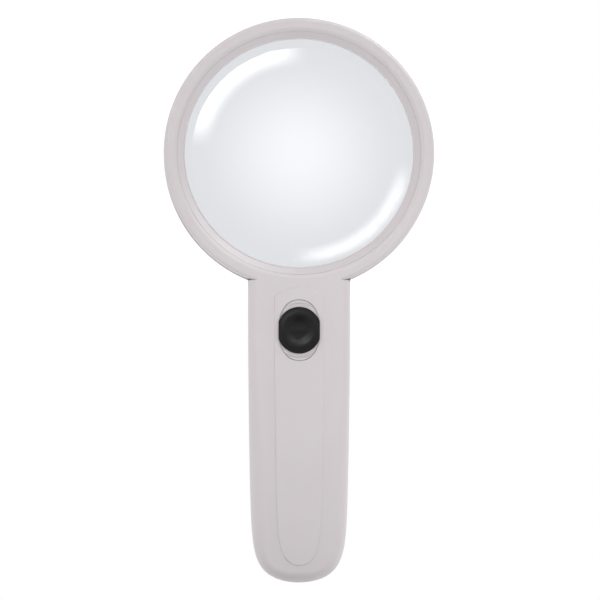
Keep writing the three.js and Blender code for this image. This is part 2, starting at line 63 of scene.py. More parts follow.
front_low, front_high = box_mm("front_shell")
rear_high = box_mm("rear_shell")[1]
lens_low, lens_high = box_mm("lens")
door_low, door_high = box_mm("battery_door")
knob_low, knob_high = box_mm("switch_knob")
cell_low, cell_high = box_mm("battery_cell_right")

HEAD_H = (lens_low.z + lens_high.z) / 2
HEAD_R = front_high.x
HEAD_REAR_R = rear_high.x
LENS_R = lens_high.x
KNOB_H = (knob_low.z + knob_high.z) / 2
KNOB_R = (knob_high.z - knob_low.z) / 2
KNOB_HALF_X = knob_high.x
PANEL_Y = front_low.y
BACK_Y = door_high.y
DOOR_HALF_X = 14.5
DOOR_TOP_H = door_high.z
DOOR_INNER_Y = door_low.y
CELL_X = (cell_low.x + cell_high.x) / 2
CELL_Y = (cell_low.y + cell_high.y) / 2
CELL_R = (cell_high.x - cell_low.x) / 2

# ---- Dimensions of the looks, in millimetres ----

PANEL_RISE = 0.45
FRONT_Y = PANEL_Y + PANEL_RISE
HEAD_BACK_Y = 6.0
SEAM = 0.15  # each shell's edge stands this far from the parting plane
SEAM_CHAMFER = 0.15
WALL = 1.8
GAP = 0.3

# Head
RIDGE_R = 46.3
BORE_R = 45.3
CHANNEL_R = 48.6
VIEW_R = 42.5
SEAT_R = 43.4
RIM_ROUND = 1.6

# Lens
LENS_FRONT_R = 140.0
LENS_BACK_R = 331.0
LENS_EDGE = 2.0
LENS_MID_Y = -2.7

# Handle
HANDLE_HALF = 19.01
HANDLE_TAPER = 1.71
TIP_ROUND = 5.8
SHOULDER_H = 112.3
SHOULDER_ROUND = 0.8
CREASE_X = 14.6  # the handle's front runs into the head's without a step up to this far from the middle
SLOPE_LOW_H = 101.5
SLOPE_TOP_H = 113.3

# Battery bay
BAY_TOP_H = 67.5
BAY_LOW_H = 10.3
BAY_WALL_FRONT_Y = -5.0
TONGUE_HALF_X = 15.4

# Screws
SCREW_X = 13.3
SCREW_HS = {"upper": 96.0, "lower": 75.0}
SCREW_SINK_Y = 8.5
SCREW_SINK_R = 2.9
SCREW_HOLE_R = 1.6

# Light window, in the slope behind the handle's top
WINDOW_HALF = 11.5
WINDOW_RISE = 3.0
WINDOW_PLATE = 1.2
WINDOW_FLANGE = 0.8
WINDOW_LIP = 1.2

HEAD_SIDES = 288

# ---- Mesh helpers ----


def place(x, y, h):
    return Vector((x * MM, y * MM, TIP_Z + h * MM))


def new_object(name, points, faces):
    """A mesh object from (x, y, h) points. Its faces are turned to point outwards."""
    mesh = bpy.data.meshes.new(name)
    mesh.from_pydata([place(*p) for p in points], [], faces)
    work = bmesh.new()
    work.from_mesh(mesh)
    bmesh.ops.remove_doubles(work, verts=work.verts, dist=1e-8)
    bmesh.ops.recalc_face_normals(work, faces=work.faces)
    work.to_mesh(mesh)
    work.free()
    obj = bpy.data.objects.new(name, mesh)
    bpy.context.scene.collection.objects.link(obj)
    return obj


def loft(name, loops, ladder=False):
    """A closed solid through loops of equal length, capped at both ends.

    With ladder=True each cap is a strip of quads across a loop that is the same on both sides.
    """
    count = len(loops[0])
    points = [p for loop in loops for p in loop]
    faces = []
    for k in range(len(loops) - 1):
        a, b = k * count, (k + 1) * count
        for i in range(count):
            j = (i + 1) % count
            faces.append((a + i, a + j, b + j, b + i))
    for start in (0, (len(loops) - 1) * count):
        if not ladder:
            faces.append([start + i for i in range(count)])
            continue
        for i in range(count // 2):
            quad = [i, i + 1, (count - i - 1) % count, (count - i) % count]
            faces.append([start + q for q in dict.fromkeys(quad)])
    return new_object(name, points, faces)


def turned(name, profile, x=0.0, h=None, sides=HEAD_SIDES, scale=(1.0, 1.0)):
    """A solid turned about the line along Y through (x, h). The profile is (radius, y) points.

    It starts and ends on the axis, or closes on itself.
    """
    h = HEAD_H if h is None else h
    points = []
    rings = []
    for r, y in profile:
        if r == 0:
            rings.append([len(points)] * sides)
            points.append((x, y, h))
            continue
        rings.append(list(range(len(points), len(points) + sides)))
        for i in range(sides):
            angle = 2 * math.pi * i / sides
            points.append((x + r * scale[0] * math.cos(angle), y, h + r * scale[1] * math.sin(angle)))
    if profile[0][0] != 0:
        rings.append(rings[0])
    faces = []
    for low, high in zip(rings, rings[1:]):
        for i in range(sides):
            j = (i + 1) % sides
            faces.append(list(dict.fromkeys((low[i], low[j], high[j], high[i]))))
    return new_object(name, points, [f for f in faces if len(f) > 2])


def block(x0, x1, y0, y1, h0, h1):
    points = [(x, y, h) for x in (x0, x1) for y in (y0, y1) for h in (h0, h1)]
    faces = [(0, 1, 3, 2), (4, 6, 7, 5), (0, 4, 5, 1), (2, 3, 7, 6), (0, 2, 6, 4), (1, 5, 7, 3)]
    return new_object("block", points, faces)


def rod(r, y0, y1, x, h, sides=48):
    return turned("rod", [(0, y0), (r, y0), (r, y1), (0, y1)], x, h, sides)


def apply_modifiers(obj):
    graph = bpy.context.evaluated_depsgraph_get()
    made = bpy.data.meshes.new_from_object(
        obj.evaluated_get(graph), preserve_all_data_layers=True, depsgraph=graph
    )
    old = obj.data
    obj.modifiers.clear()
    obj.data = made
    bpy.data.meshes.remove(old)


def combine(target, tools, operation):
    """Joins the tools to the target, cuts them from it or keeps what they share, and removes them."""
    for tool in tools:
        step = target.modifiers.new("boolean", "BOOLEAN")
        step.operation = operation
        step.solver = "MANIFOLD"
        step.object = tool
        apply_modifiers(target)
        bpy.data.objects.remove(tool)
    return target


def arc(cx, cy, radius, start, end, steps):
    """Points of an arc, with its angles in degrees."""
    angles = [math.radians(start + (end - start) * i / steps) for i in range(steps + 1)]
    return [(cx + radius * math.cos(a), cy + radius * math.sin(a)) for a in angles]


def smooth(t):
    t = min(max(t, 0.0), 1.0)
    return t * t * (3 - 2 * t)


# ---- Outlines ----


def opening(h, roundness):
    return math.sqrt(1 - math.exp(-max(h, 0.0) / roundness))


def handle_half(h, inset=0.0):
    side = HANDLE_HALF - HANDLE_TAPER * (1 - min(h / SHOULDER_H, 1)) ** 2
    return (side - inset) * opening(h - inset, TIP_ROUND)


def side_heights(low, high, count):
    """Heights up one side, closer together at the tip where the outline turns fastest."""
    return [low + (high - low) * (i / count) ** 2.2 for i in range(count + 1)]


def outward(points):
    """Outward directions along the right half of an outline, which runs up its right side."""
    found = [(0.0, -1.0)]
    for (ax, ah), (bx, bh) in zip(points, points[2:]):
        dx, dh = bx - ax, bh - ah
        length = math.hypot(dx, dh)
        found.append((dh / length, -dx / length))
    found.append((0.0, 1.0))
    return found


def both_sides(right, ys):
    """A closed loop from the right half of an outline and each of its points' depths."""
    points = [(x, y, h) for (x, h), y in zip(right, ys)]
    return points + [(-x, y, h) for x, y, h in reversed(points[1:-1])]


# ---- Handle ----

HANDLE_TOP_H = 122.0  # the sides run on up to here, inside the head, before the shoulders are cut
ROUND_STEPS = 12


def handle_part(parting_y, face_y, width_at, depth_at):
    """Half of the handle, front or rear, with its outer edge rounded more widely towards the tip."""
    right = [(handle_half(h), h) for h in side_heights(0, HANDLE_TOP_H, 70)] + [(0.0, HANDLE_TOP_H)]
    directions = outward(right)
    directions[-2] = (1.0, 0.0)
    toward = 1 if face_y > parting_y else -1

    def moved(width_of):
        points = []
        for (x, h), (nx, nh) in zip(right, directions):
            points.append((x - width_of(h) * nx, h - width_of(h) * nh))
        points[-2] = (points[-2][0], HANDLE_TOP_H)
        points[-1] = right[-1]
        return points

    loops = [both_sides(moved(lambda h: SEAM_CHAMFER), [parting_y] * len(right))]
    loops.append(both_sides(right, [parting_y + toward * SEAM_CHAMFER] * len(right)))
    inner = moved(width_at)
    for k in range(ROUND_STEPS + 1):
        angle = math.pi / 2 * k / ROUND_STEPS
        t = 1 - math.cos(angle)
        points = [(a + (c - a) * t, b + (d - b) * t) for (a, b), (c, d) in zip(right, inner)]
        ys = [face_y - toward * depth_at(h) * (1 - math.sin(angle)) for _, h in right]
        loops.append(both_sides(points, ys))
    return loft("handle", loops, ladder=True)


def front_edge_width(h):
    return 3.4 + 2.0 * smooth((95 - h) / 60) * smooth(h / 30) + 1.0 * math.exp(-h / 7)


def front_edge_depth(h):
    return 2.6 + 1.2 * smooth((95 - h) / 60) * smooth(h / 30) + 2.8 * math.exp(-h / 7)


def rear_edge_width(h):
    return 3.4 + 2.0 * math.exp(-h / 9)


def rear_edge_depth(h):
    return 3.4 + 2.4 * math.exp(-h / 9)


def across(profile_at, xs):
    """A solid along X, whose (y, h) section is given for each x."""
    return loft("across", [[(x, y, h) for y, h in profile_at(x)] for x in xs])


def shoulder_cutter():
    """What is above the handle's shoulders. Its top edge rises into the head and is rounded in front."""
    edge = 0.6

    def profile(x):
        rise = 2.6 * (1 - smooth((abs(x) - CREASE_X + 1) / 2.6))
        out = abs(x) - (handle_half(SHOULDER_H) - SHOULDER_ROUND)
        fall = SHOULDER_ROUND - math.sqrt(max(SHOULDER_ROUND**2 - max(out, 0) ** 2, 0))
        h = SHOULDER_H + rise - fall
        rounded = arc(FRONT_Y + edge, h - edge, edge, 180, 90, 6)
        return [(FRONT_Y - 2, h - edge), *rounded, (BACK_Y + 2, h), (BACK_Y + 2, 140), (FRONT_Y - 2, 140)]

    inner = [i * 1.5 for i in range(8)]
    outer = [12.0 + 0.25 * i for i in range(30)]
    xs = [x for x in inner + outer if x < 19.2]
    return across(profile, [-x for x in reversed(xs[1:])] + xs)


def slope_cutter(drop=0.0):
    """What is behind the slope from the handle's back up to the head's back."""
    run = BACK_Y - HEAD_BACK_Y
    rise = SLOPE_TOP_H - SLOPE_LOW_H
    length = math.hypot(run, rise)
    dy, dh = -drop * rise / length, -drop * run / length
    bend = 1.4
    low = (BACK_Y, SLOPE_LOW_H)
    after = (BACK_Y - bend * run / length, SLOPE_LOW_H + bend * rise / length)
    points = [(BACK_Y + 4, low[1] - bend), (BACK_Y + 0.001, low[1] - bend), (BACK_Y - 0.1, low[1] - 0.25)]
    points += [(after[0] + 0.12, after[1] - 0.55), after]
    points += [(HEAD_BACK_Y, SLOPE_TOP_H), (HEAD_BACK_Y, 140), (BACK_Y + 4, 140)]
    moved = [(y + dy, h + dh) for y, h in points[1:-1]]
    profile = [(BACK_Y + 4, moved[0][1]), *moved, (BACK_Y + 4, 140)]
    return across(lambda x: profile, (-21, 21))


def handle_front():
    return handle_part(-SEAM, FRONT_Y, front_edge_width, front_edge_depth)


def handle_rear():
    return combine(
        handle_part(SEAM, BACK_Y, rear_edge_width, rear_edge_depth), [slope_cutter()], "DIFFERENCE"
    )


def cavity():
    """The room inside the handle."""
    inset = WALL + 0.1
    y0, y1, edge = FRONT_Y + WALL, BACK_Y - WALL, 1.6
    loops = []
    for k in range(5):
        angle = math.pi / 2 * k / 4
        loops.append((inset + edge * (1 - math.sin(angle)), y0 + edge * (1 - math.cos(angle))))
    loops += [(inset_k, y0 + y1 - y) for inset_k, y in reversed(loops)]

    def loop(inset_k, y):
        right = [(handle_half(h, inset_k), h) for h in side_heights(inset_k, 112.6, 40)] + [(0.0, 112.6)]
        return both_sides(right, [y] * len(right))

    room = loft("cavity", [loop(*k) for k in loops], ladder=True)
    return combine(room, [slope_cutter(WALL)], "DIFFERENCE")


# ---- Front shell ----


def head_part(parting_y, face_y, radius):
    toward = 1 if face_y > parting_y else -1
    centre_y = face_y - toward * RIM_ROUND
    rim = arc(radius - RIM_ROUND, centre_y, RIM_ROUND, 0, toward * 90, 12)
    seam = [(0, parting_y), (radius - SEAM_CHAMFER, parting_y), (radius, parting_y + toward * SEAM_CHAMFER)]
    return turned("head", [*seam, *rim, (0, face_y)])


def panel():
    """The raised centre panel, whose top edge is an arch and whose edges are slightly rounded."""
    low, high = 6.75, 109.6
    wide, taper = 9.2, 1.25
    radius, corner, soft = 18.0, 1.2, 0.32

    def half(h):
        side = wide - taper * (1 - h / high) ** 1.7
        return side * opening(h - low, 5.6)

    def arch(x):
        return high - radius + math.sqrt(radius**2 - x**2)

    top = arch(wide) - corner
    side = [(half(h), h) for h in side_heights(low, top, 50)]
    turn = arc(side[-1][0] - corner, top, corner, 0, 66, 6)[1:]
    join_x, join_h = turn[-1]
    lift = join_h - arch(join_x)
    xs = [join_x * (1 - i / 16) for i in range(1, 17)]
    right = side + turn + [(x, arch(x) + lift * x / join_x) for x in xs]
    directions = outward(right)
    loops = [both_sides(right, [y] * len(right)) for y in (FRONT_Y + 1.0, PANEL_Y + soft)]
    for k in range(1, 6):
        angle = math.pi / 2 * k / 5
        inset = soft * (1 - math.cos(angle))
        points = [(x - inset * nx, h - inset * nh) for (x, h), (nx, nh) in zip(right, directions)]
        loops.append(both_sides(points, [PANEL_Y + soft * (1 - math.sin(angle))] * len(right)))
    return loft("panel", loops, ladder=True)


DISH_HALF_X = 7.65
DISH_HALF_H = 11.35
DISH_FLOOR_Y = PANEL_Y + 0.2
HAIRLINE = 0.32
SHIELD_R = 9.85
SLOT_HALF_H = 4.6


def fuller_circle(count, power=2.3):
    """Points of a unit circle drawn out a little towards its corners."""
    points = []
    for i in range(count):
        turn = 2 * math.pi * (i + 0.5) / count
        c, s = math.cos(turn), math.sin(turn)
        reach = (abs(c) ** power + abs(s) ** power) ** (-1 / power)
        points.append((reach * c, reach * s))
    return points


def oval_cutter(outer_x, profile):
    """A cutter round the switch whose oval keeps the same margin all round. Profile is (inset, y) points."""
    loops = []
    for inset, y in profile:
        a, b = outer_x - inset, outer_x - inset + DISH_HALF_H - DISH_HALF_X
        loops.append([(a * c, y, KNOB_H + b * s) for c, s in fuller_circle(160)])
    return loft("oval", loops)


def dish_cutters():
    """What is cut away round the switch: a shallow oval, with a fine groove at the foot of its wall."""
    wall = [(-0.06, PANEL_Y - 1), (-0.06, PANEL_Y - 0.01), (-0.01, PANEL_Y + 0.04), (0.02, DISH_FLOOR_Y)]
    foot = combine(
        oval_cutter(DISH_HALF_X, [(0.02, PANEL_Y - 1), (0.02, DISH_FLOOR_Y + 0.9)]),
        [oval_cutter(DISH_HALF_X, [(HAIRLINE, PANEL_Y - 2), (HAIRLINE, DISH_FLOOR_Y + 2)])],
        "DIFFERENCE",
    )
    return [oval_cutter(DISH_HALF_X, wall), foot]


def shield_grooves():
    """Two fine arcs in the dish's floor, above and below the button and a little outside it."""
    y0, y1, width, reach = PANEL_Y - 1, DISH_FLOOR_Y + 0.6, 0.28, 32
    section = [(SHIELD_R, y0), (SHIELD_R + width, y0), (SHIELD_R + width, y1), (SHIELD_R, y1)]
    grooves = []
    for middle in (90, 270):
        loops = []
        for i in range(41):
            turn = math.radians(middle - reach + reach * i / 20)
            loops.append([(r * math.cos(turn), y, KNOB_H + r * math.sin(turn)) for r, y in section])
        grooves.append(loft("groove", loops))
    return grooves


def tube(inner, outer, y0, y1):
    return turned("tube", [(inner, y0), (outer, y0), (outer, y1), (inner, y1)])


def bosses(r, y0, y1):
    return [rod(r, y0, y1, side * SCREW_X, h) for h in SCREW_HS.values() for side in (-1, 1)]


def front_shell():
    bore_wall_r = BORE_R + 1.6
    inside_y = FRONT_Y + 1
    shell = combine(handle_front(), [shoulder_cutter()], "DIFFERENCE")
    combine(shell, [head_part(-SEAM, FRONT_Y, HEAD_R), panel()], "UNION")
    combine(shell, [cavity(), tube(bore_wall_r, CHANNEL_R, FRONT_Y + WALL, 1)], "DIFFERENCE")
    bore_wall = tube(BORE_R - 0.1, bore_wall_r, inside_y, -SEAM)
    combine(shell, [bore_wall, *bosses(3.1, inside_y, -SEAM)], "UNION")
    ridge = arc(RIDGE_R + 0.85, FRONT_Y + 2.0, 2.0, -90, -118, 8)
    bore = [(0, FRONT_Y - 1), (RIDGE_R + 3, FRONT_Y - 1), (RIDGE_R + 2, FRONT_Y - 0.004), *ridge]
    bore += [(BORE_R + 0.04, FRONT_Y + 0.72), (BORE_R, FRONT_Y + 0.76), (BORE_R, 1), (0, 1)]
    slot = block(-2, 2, FRONT_Y - 1, FRONT_Y + 3, KNOB_H - SLOT_HALF_H, KNOB_H + SLOT_HALF_H)
    cuts = [turned("bore", bore), *dish_cutters(), *shield_grooves(), slot, *bosses(SCREW_HOLE_R, -7, 1)]
    return combine(shell, cuts, "DIFFERENCE")


# ---- Rear shell and battery door ----


def door_prism(half, half_at_face, inner_y, top_h):
    """A block with its two outer long edges drawn in, or flared, at the back face."""
    y = BACK_Y
    section = [(-half, inner_y), (half, inner_y), (half, y - 0.25), (half_at_face, y + 0.001)]
    section += [(half_at_face, y + 1), (-half_at_face, y + 1), (-half_at_face, y + 0.001), (-half, y - 0.25)]
    return loft("door_prism", [[(x, y, h) for x, y in section] for h in (-1, top_h)])


def cross_wall(front_half_x, h0, h1):
    back = DOOR_INNER_Y - GAP
    rear = combine(block(-HANDLE_HALF, HANDLE_HALF, SEAM, back, h0, h1), [handle_rear()], "INTERSECT")
    return [block(-front_half_x, front_half_x, BAY_WALL_FRONT_Y, back, h0, h1), rear]


def rail(side):
    xs = sorted((side * (DOOR_HALF_X + GAP), side * 17.5))
    return combine(block(*xs, 8.2, 11, 6, DOOR_TOP_H + GAP), [handle_rear()], "INTERSECT")


def on_slope(u, v, w):
    """A point of the light window: u across, v up the slope, w outwards from its face."""
    angle = math.atan2(BACK_Y - HEAD_BACK_Y, SLOPE_TOP_H - SLOPE_LOW_H)
    y = (BACK_Y + HEAD_BACK_Y) / 2 + w * math.cos(angle) - v * math.sin(angle)
    h = (SLOPE_LOW_H + SLOPE_TOP_H) / 2 + w * math.sin(angle) + v * math.cos(angle)
    return (u, y, h)


def slope_plate(half, rise, levels, corner=1.0):
    """A plate in the slope with rounded corners. Levels are (height outwards, inset) pairs."""
    loops = []
    for w, inset in levels:
        loop = []
        for sx, sy, start in ((1, 1, 0), (-1, 1, 90), (-1, -1, 180), (1, -1, 270)):
            turn = arc(sx * (half - corner), sy * (rise - corner), corner - inset, start, start + 90, 8)
            loop += [on_slope(u, v, w) for u, v in turn]
        loops.append(loop)
    return loft("plate", loops)


def rear_shell():
    shell = combine(handle_rear(), [shoulder_cutter()], "DIFFERENCE")
    combine(shell, [head_part(SEAM, HEAD_BACK_Y, HEAD_REAR_R)], "UNION")
    combine(shell, [cavity(), tube(LENS_R, CHANNEL_R, -1, HEAD_BACK_Y - WALL)], "DIFFERENCE")
    seat = lens_back(VIEW_R) + GAP
    parts = [tube(SEAT_R - 0.2, LENS_R, seat, HEAD_BACK_Y - 0.5)]
    parts += cross_wall(15.6, BAY_TOP_H, BAY_TOP_H + 1.7)
    parts += cross_wall(12.2, BAY_LOW_H - 1.7, BAY_LOW_H)
    parts += [rail(side) for side in (-1, 1)]
    parts += [rod(1.8, 3.2, BACK_Y - 1, x, 88) for x in (-6, 6)]
    parts += bosses(3.9, SEAM, BACK_Y - 1) + seam_lips()
    combine(shell, parts, "UNION")
    hole = [(0, -5), (SEAT_R, -5), (SEAT_R, HEAD_BACK_Y - 0.8)]
    hole += arc(SEAT_R + 0.8, HEAD_BACK_Y - 0.8, 0.8, 180, 90, 6)[1:]
    hole += [(SEAT_R + 0.8, HEAD_BACK_Y + 1), (0, HEAD_BACK_Y + 1)]
    sink = [(0, SCREW_SINK_Y), (SCREW_SINK_R, SCREW_SINK_Y), (SCREW_SINK_R, BACK_Y - 0.3)]
    sink += [(SCREW_SINK_R + 0.3, BACK_Y), (SCREW_SINK_R + 0.3, BACK_Y + 1), (0, BACK_Y + 1)]
    half, rise = WINDOW_HALF + GAP, WINDOW_RISE + GAP
    outer_levels = ((-WINDOW_PLATE - 1, 0), (-0.2, 0), (0.05, -0.2), (1, -0.2))
    inner_levels = ((-4, 0), (-WINDOW_PLATE + GAP, 0))
    tongue_top = DOOR_TOP_H + GAP
    cuts = [
        turned("hole", hole),
        door_prism(DOOR_HALF_X + GAP, DOOR_HALF_X + GAP + 0.2, DOOR_INNER_Y - GAP, tongue_top),
        block(-TONGUE_HALF_X - GAP, TONGUE_HALF_X + GAP, 9.6, 11.1, -1, tongue_top),
        slope_plate(half, rise, outer_levels),
        slope_plate(half + WINDOW_LIP, rise + WINDOW_LIP, inner_levels),
        *bosses(SCREW_HOLE_R, -1, BACK_Y),
        *[turned("sink", sink, side * SCREW_X, h, 48) for h in SCREW_HS.values() for side in (-1, 1)],
    ]
    return combine(shell, cuts, "DIFFERENCE")


def seam_lips():
    """Lips inside the rear shell's edge that close the seam to light, all but touching the front shell."""
    y0, y1, top_h = -SEAM + 0.02, SEAM + 0.5, 111.5

    def outline(inset, top, low_y, high_y):
        right = [(handle_half(h, inset), h) for h in side_heights(inset, top, 60)] + [(0.0, top)]
        return loft("lip", [both_sides(right, [y] * len(right)) for y in (low_y, high_y)], ladder=True)

    around = combine(outline(0.9, top_h, y0, y1), [outline(1.7, top_h + 1, y0 - 1, y1 + 1)], "DIFFERENCE")
    head = combine(tube(48.5, 49.5, y0, y1), [block(-17.6, 17.6, -1, 2, 100, 125)], "DIFFERENCE")
    return [around, head]


def grip_groove(h):
    """A groove across the door with a round bottom and round ends."""
    half, radius, depth = 6.0, 0.75, 0.5
    loops = []
    for k in range(7):
        angle = math.pi / 2 * k / 6
        reach = radius * math.cos(angle)
        y = BACK_Y + 0.05 - (depth + 0.05) * math.sin(angle)
        loop = []
        for sx, start in ((1, -90), (-1, 90)):
            turn = arc(sx * (half - radius), h, max(reach, 0.01), start, start + 180, 10)
            loop += [(x, y, z) for x, z in turn]
        loops.append(loop)
    return loft("groove", loops)


def battery_door():
    door = door_prism(DOOR_HALF_X, DOOR_HALF_X - 0.25, DOOR_INNER_Y, DOOR_TOP_H)
    combine(door, [block(-TONGUE_HALF_X, TONGUE_HALF_X, 9.9, 10.8, -1, DOOR_TOP_H)], "UNION")
    combine(door, [handle_rear()], "INTERSECT")
    return combine(door, [grip_groove(56.45 + 1.8 * i) for i in range(5)], "DIFFERENCE")


# ---- Optics and light ----


def sag(face_r, r):
    return face_r - math.sqrt(face_r**2 - r**2)


def lens_front(r):
    return LENS_MID_Y - LENS_EDGE / 2 - sag(LENS_FRONT_R, LENS_R) + sag(LENS_FRONT_R, r)


def lens_back(r):
    return LENS_MID_Y + LENS_EDGE / 2 + sag(LENS_BACK_R, LENS_R) - sag(LENS_BACK_R, r)


def lens():
    steps = 48
    radii = [LENS_R * i / steps for i in range(steps + 1)]
    front = [(r, lens_front(r)) for r in radii]
    back = [(r, lens_back(r)) for r in reversed(radii)]
    return turned("lens_glass", front + back)


def retaining_ring():
    """The ring in front of the lens, undercut to it. A fine groove runs round inside its sloped face."""
    outer = BORE_R - 0.03
    foot = VIEW_R + 1.2
    lip_y = FRONT_Y + 2.4
    profile = [
        (foot, lens_front(foot) - 0.2),
        (VIEW_R, lip_y + 0.12),
        (VIEW_R, lip_y + 0.02),
        (VIEW_R + 0.05, lip_y - 0.05),
        (VIEW_R + 0.17, lip_y - 0.09),
        (VIEW_R + 0.47, lip_y + 0.03),
        (VIEW_R + 0.6, lip_y - 0.04),
        (outer - 0.08, FRONT_Y + 0.8),
        (outer, FRONT_Y + 0.86),
        (outer, lens_front(outer) - 0.2),
    ]
    return turned("retaining_ring", profile)


def light_window():
    levels = [(-WINDOW_PLATE - 0.1, 0), (-0.25, 0), (-0.07, 0.07), (0, 0.25)]
    pane = slope_plate(WINDOW_HALF, WINDOW_RISE, levels)
    flange = slope_plate(
        WINDOW_HALF + WINDOW_LIP,
        WINDOW_RISE + WINDOW_LIP,
        ((-WINDOW_PLATE - WINDOW_FLANGE, 0), (-WINDOW_PLATE, 0)),
    )
    return combine(pane, [flange], "UNION")


LED_XS = {"left": -7.0, "centre": 0.0, "right": 7.0}
LED_TIP = -WINDOW_PLATE - WINDOW_FLANGE - 0.6
LED_LENGTH = 4.6


def led(x):
    """A clear lamp body with a domed end and a flange at its foot."""
    base = LED_TIP - LED_LENGTH
    dome = arc(0, LED_TIP - 1.5, 1.5, 0, 90, 8)
    foot = [(1.8, base), (1.9, base + 0.1), (1.9, base + 0.7), (1.8, base + 0.8), (1.5, base + 0.8)]
    angles = [2 * math.pi * i / 32 for i in range(32)]
    loops = []
    for r, w in [*foot, *dome[:-1], (0.12, LED_TIP)]:
        loops.append([on_slope(x + r * math.cos(a), r * math.sin(a), w) for a in angles])
    return loft("led", loops)


# ---- Switch ----


def knob():
    """The thumb button: a round cap with flat sides, a dished face and a soft rib across."""
    rim_y = PANEL_Y - GAP
    top = rim_y - 1.3
    dish_r, depth = 6.1, 1.1
    face = []
    for i in range(21):
        r = dish_r * i / 20
        face.append((r, top + depth * (1 - smooth((r - 2.6) / (dish_r - 2.6)))))
    brow = [(6.3, 0.01), (6.7, 0.07), (7.1, 0.19), (7.4, 0.27), (7.8, 0.335), (8.2, 0.38)]
    edge = [(KNOB_R - 0.06, 0.43), (KNOB_R, 0.5), (KNOB_R - 0.04, 0.6), (KNOB_R - 0.3, 0.95)]
    profile = face + [(r, top + y) for r, y in brow + edge] + [(KNOB_R - 0.3, rim_y), (0, rim_y)]
    cap = turned("knob_cap", profile, 0, KNOB_H, 144, scale=(0.95, 1.0))
    rib_top = top + depth - 0.25

    def section(x):
        fade = smooth((5.9 - abs(x)) / 1.5)
        y = top + depth + 0.1 + (rib_top - top - depth - 0.1) * fade
        crown = [(y + 0.25 * (t / 4 - 1) ** 2, KNOB_H + 1.6 * (t / 4 - 1)) for t in range(9)]
        return [(rim_y - 0.1, KNOB_H - 1.6), *crown, (rim_y - 0.1, KNOB_H + 1.6)]

    combine(cap, [across(section, [-5.8 + 0.4 * i for i in range(30)])], "UNION")
    sides = block(-KNOB_HALF_X, KNOB_HALF_X, -20, 0, KNOB_H - 20, KNOB_H + 20)
    combine(cap, [sides], "INTERSECT")
    stem = block(-1.7, 1.7, rim_y - 0.3, -8.0, KNOB_H - 1.9, KNOB_H + 1.9)
    return combine(cap, [stem], "UNION")


# ---- Screws and cells ----


def screw(x, h):
    """A pan-head screw with a tapered cross recess."""
    seat = SCREW_SINK_Y + GAP
    head = [(2.5, seat), (2.5, seat + 0.9), (2.4, seat + 1.2), (2.1, seat + 1.45)]
    head += [(1.6, seat + 1.57), (0, seat + 1.6)]
    shank = [(0, -6.5), (0.7, -6.5), (1.3, -5.5), (1.3, seat)]
    body = turned("screw", shank + head, x, h, 48)
    cuts = []
    for across_x in (True, False):
        top, low = (1.5, 0.32), (0.9, 0.2)
        loops = []
        for (long, short), y in ((top, seat + 1.8), (low, seat + 0.7)):
            a, b = (long, short) if across_x else (short, long)
            loops.append([(x + sx * a, y, h + sh * b) for sx, sh in ((1, 1), (-1, 1), (-1, -1), (1, -1))])
        cuts.append(loft("cross", loops))
    return combine(body, cuts, "DIFFERENCE")


CELL_BODY = 49.2
CELL_LOW_H = 14.0
CELL_BUTTON_R = 2.75
CELL_BUTTON = 1.2


def level_circle(x, r, h, sides):
    """Points of a level circle round the upright line through a cell's middle."""
    angles = [2 * math.pi * i / sides for i in range(sides)]
    return [(x + r * math.cos(a), CELL_Y + r * math.sin(a), h) for a in angles]


def turned_up(name, profile, x, flipped):
    """A solid turned about a cell's upright middle line. The profile is (radius, height) points."""
    total = CELL_BODY + CELL_BUTTON
    loops = []
    for r, up in profile:
        h = CELL_LOW_H + (total - up if flipped else up)
        loops.append(level_circle(x, r, h, 96))
    return loft(name, loops)


def cell_sleeve(x, flipped):
    """The printed sleeve, drawn in over both ends of the can."""
    r, top = CELL_R, CELL_BODY
    low = [(r - 1.2, 0.12), (r - 0.5, 0.02), (r - 0.15, 0.15), (r, 0.5)]
    high = [(r, top - 0.6), (r - 0.15, top - 0.2), (r - 0.5, top), (r - 1.6, top - 0.05)]
    return turned_up("cell_sleeve", low + high, x, flipped)


def cell_metal(x, flipped):
    """The can's flat base, and the button and its collar at the other end."""
    top = CELL_BODY
    base = [(4.2, 0.0), (4.5, 0.05), (5.0, 0.25), (CELL_R - 1.3, 0.3), (CELL_R - 1.3, top - 0.3)]
    collar = [(CELL_BUTTON_R + 0.5, top - 0.25), (CELL_BUTTON_R + 0.1, top - 0.1), (CELL_BUTTON_R, top)]
    button = [(CELL_BUTTON_R, top + 0.9), (CELL_BUTTON_R - 0.1, top + 1.12)]
    crest = [(CELL_BUTTON_R - 0.4, top + CELL_BUTTON)]
    return turned_up("cell_metal", base + collar + button + crest, x, flipped)


def conical_spring(x, foot_h, tip_h):
    """A spring of round wire, wide at its foot."""
    steps, sides = 150, 12
    turns, foot_r, tip_r, wire_r = 2.5, 4, 2.4, 0.29
    loops = []
    for k in range(steps + 1):
        t = k / steps
        angle = t * turns * 2 * math.pi
        r = foot_r + (tip_r - foot_r) * t
        h = foot_h + (tip_h - foot_h) * t
        out = Vector((math.cos(angle), math.sin(angle), 0))
        up = Vector((0, 0, 1))
        centre = Vector((x, CELL_Y, h)) + out * r
        turn = [2 * math.pi * i / sides for i in range(sides)]
        loops.append([tuple(centre + wire_r * (out * math.cos(a) + up * math.sin(a))) for a in turn])
    return loft("spring", loops)


def cone_pip(x, h0, h1):
    """A pressed cone that meets a cell, with a rounded crest."""
    rise = h1 - h0
    profile = [(2.6, 0), (2.5, 0.1), (1.95, 0.82), (1.75, 0.96), (1.5, 1.0)]
    return loft("pip", [level_circle(x, r, h0 + rise * t, 48) for r, t in profile])


